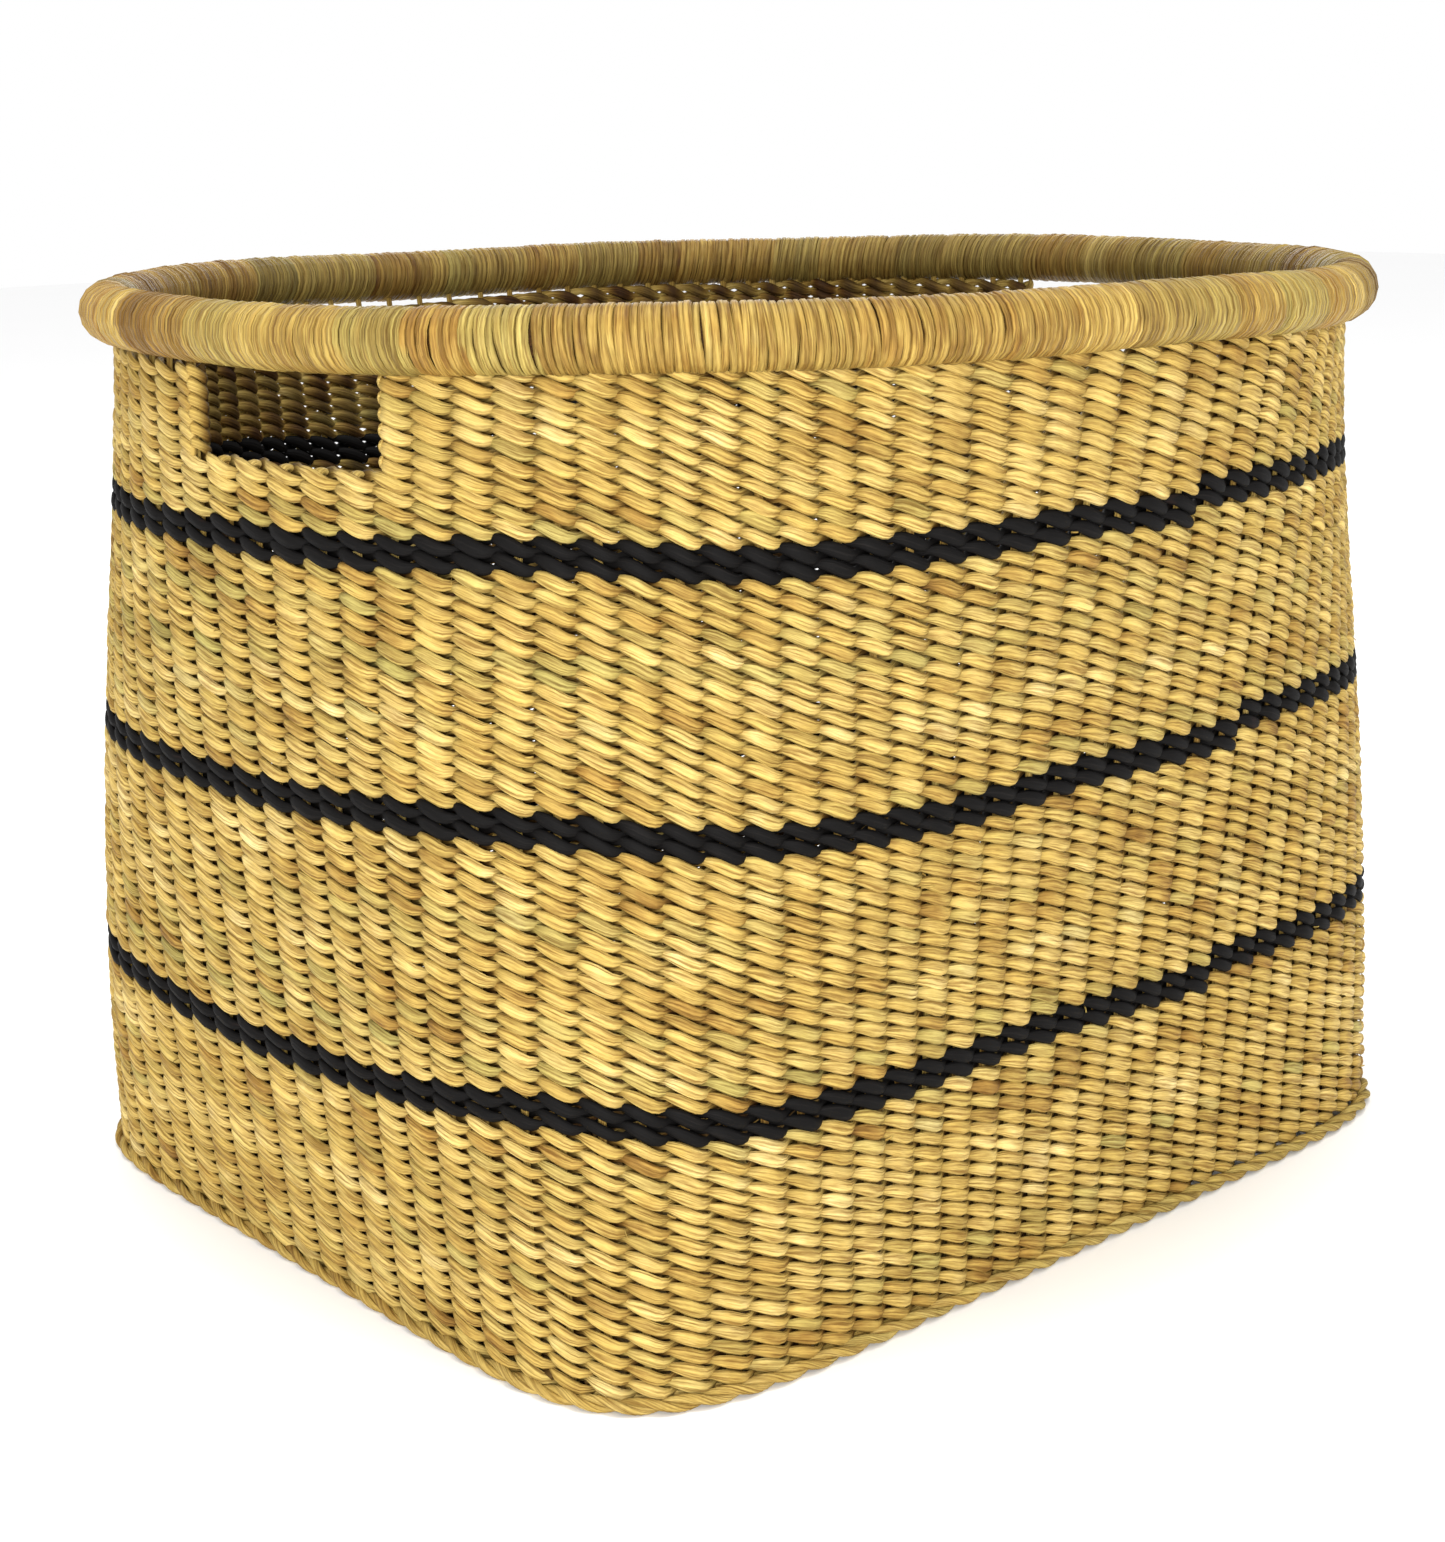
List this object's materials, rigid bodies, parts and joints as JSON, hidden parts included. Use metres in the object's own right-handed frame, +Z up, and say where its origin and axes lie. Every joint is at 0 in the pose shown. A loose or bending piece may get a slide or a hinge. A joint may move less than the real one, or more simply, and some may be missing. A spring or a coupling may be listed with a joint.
{
  "type": "woven market basket",
  "caption": "Open basket of twined straw with a squared base, rounded mouth, dark bands, a thick wrapped rim and a hand hole at each end.",
  "frame": {"origin": "under the middle of the basket, on the surface that it stands on", "axes": "+Z up, +X and -X towards the ends with the hand holes, -Y towards the front"},
  "size_m": [0.4748, 0.445, 0.34],
  "materials": {
    "straw": "dried elephant grass, twined, faint sheen",
    "straw_shade": "dried elephant grass, twined, matte",
    "rim_straw": "grass strand wrapped round a bundle, faint sheen",
    "rope": "twisted grass rope, matte",
    "dyed_black": "black dyed grass, faint sheen"
  },
  "bodies": {
    "root": {"foot_rope": "rope", "base_weave_lower": "straw_shade", "base_stakes": "straw", "base_weave_upper": "straw_shade", "stakes_front": "straw", "stakes_right": "straw", "stakes_back": "straw", "stakes_left": "straw", "weft_outer_1_natural": "straw", "weft_outer_2_black": "dyed_black", "weft_outer_3_natural": "straw", "weft_outer_4_black": "dyed_black", "weft_outer_5_natural": "straw", "weft_outer_6_black": "dyed_black", "weft_outer_7_natural": "straw", "weft_inner_1_natural": "straw_shade", "weft_inner_2_black": "dyed_black", "weft_inner_3_natural": "straw_shade", "weft_inner_4_black": "dyed_black", "weft_inner_5_natural": "straw_shade", "weft_inner_6_black": "dyed_black", "weft_inner_7_natural": "straw_shade", "hole_turns_right": "straw", "hole_turns_left": "straw", "hole_stubs_right": "straw", "hole_stubs_left": "straw", "rim_core": "straw_shade", "rim_wrap": "rim_straw"}
  },
  "joints": []
}
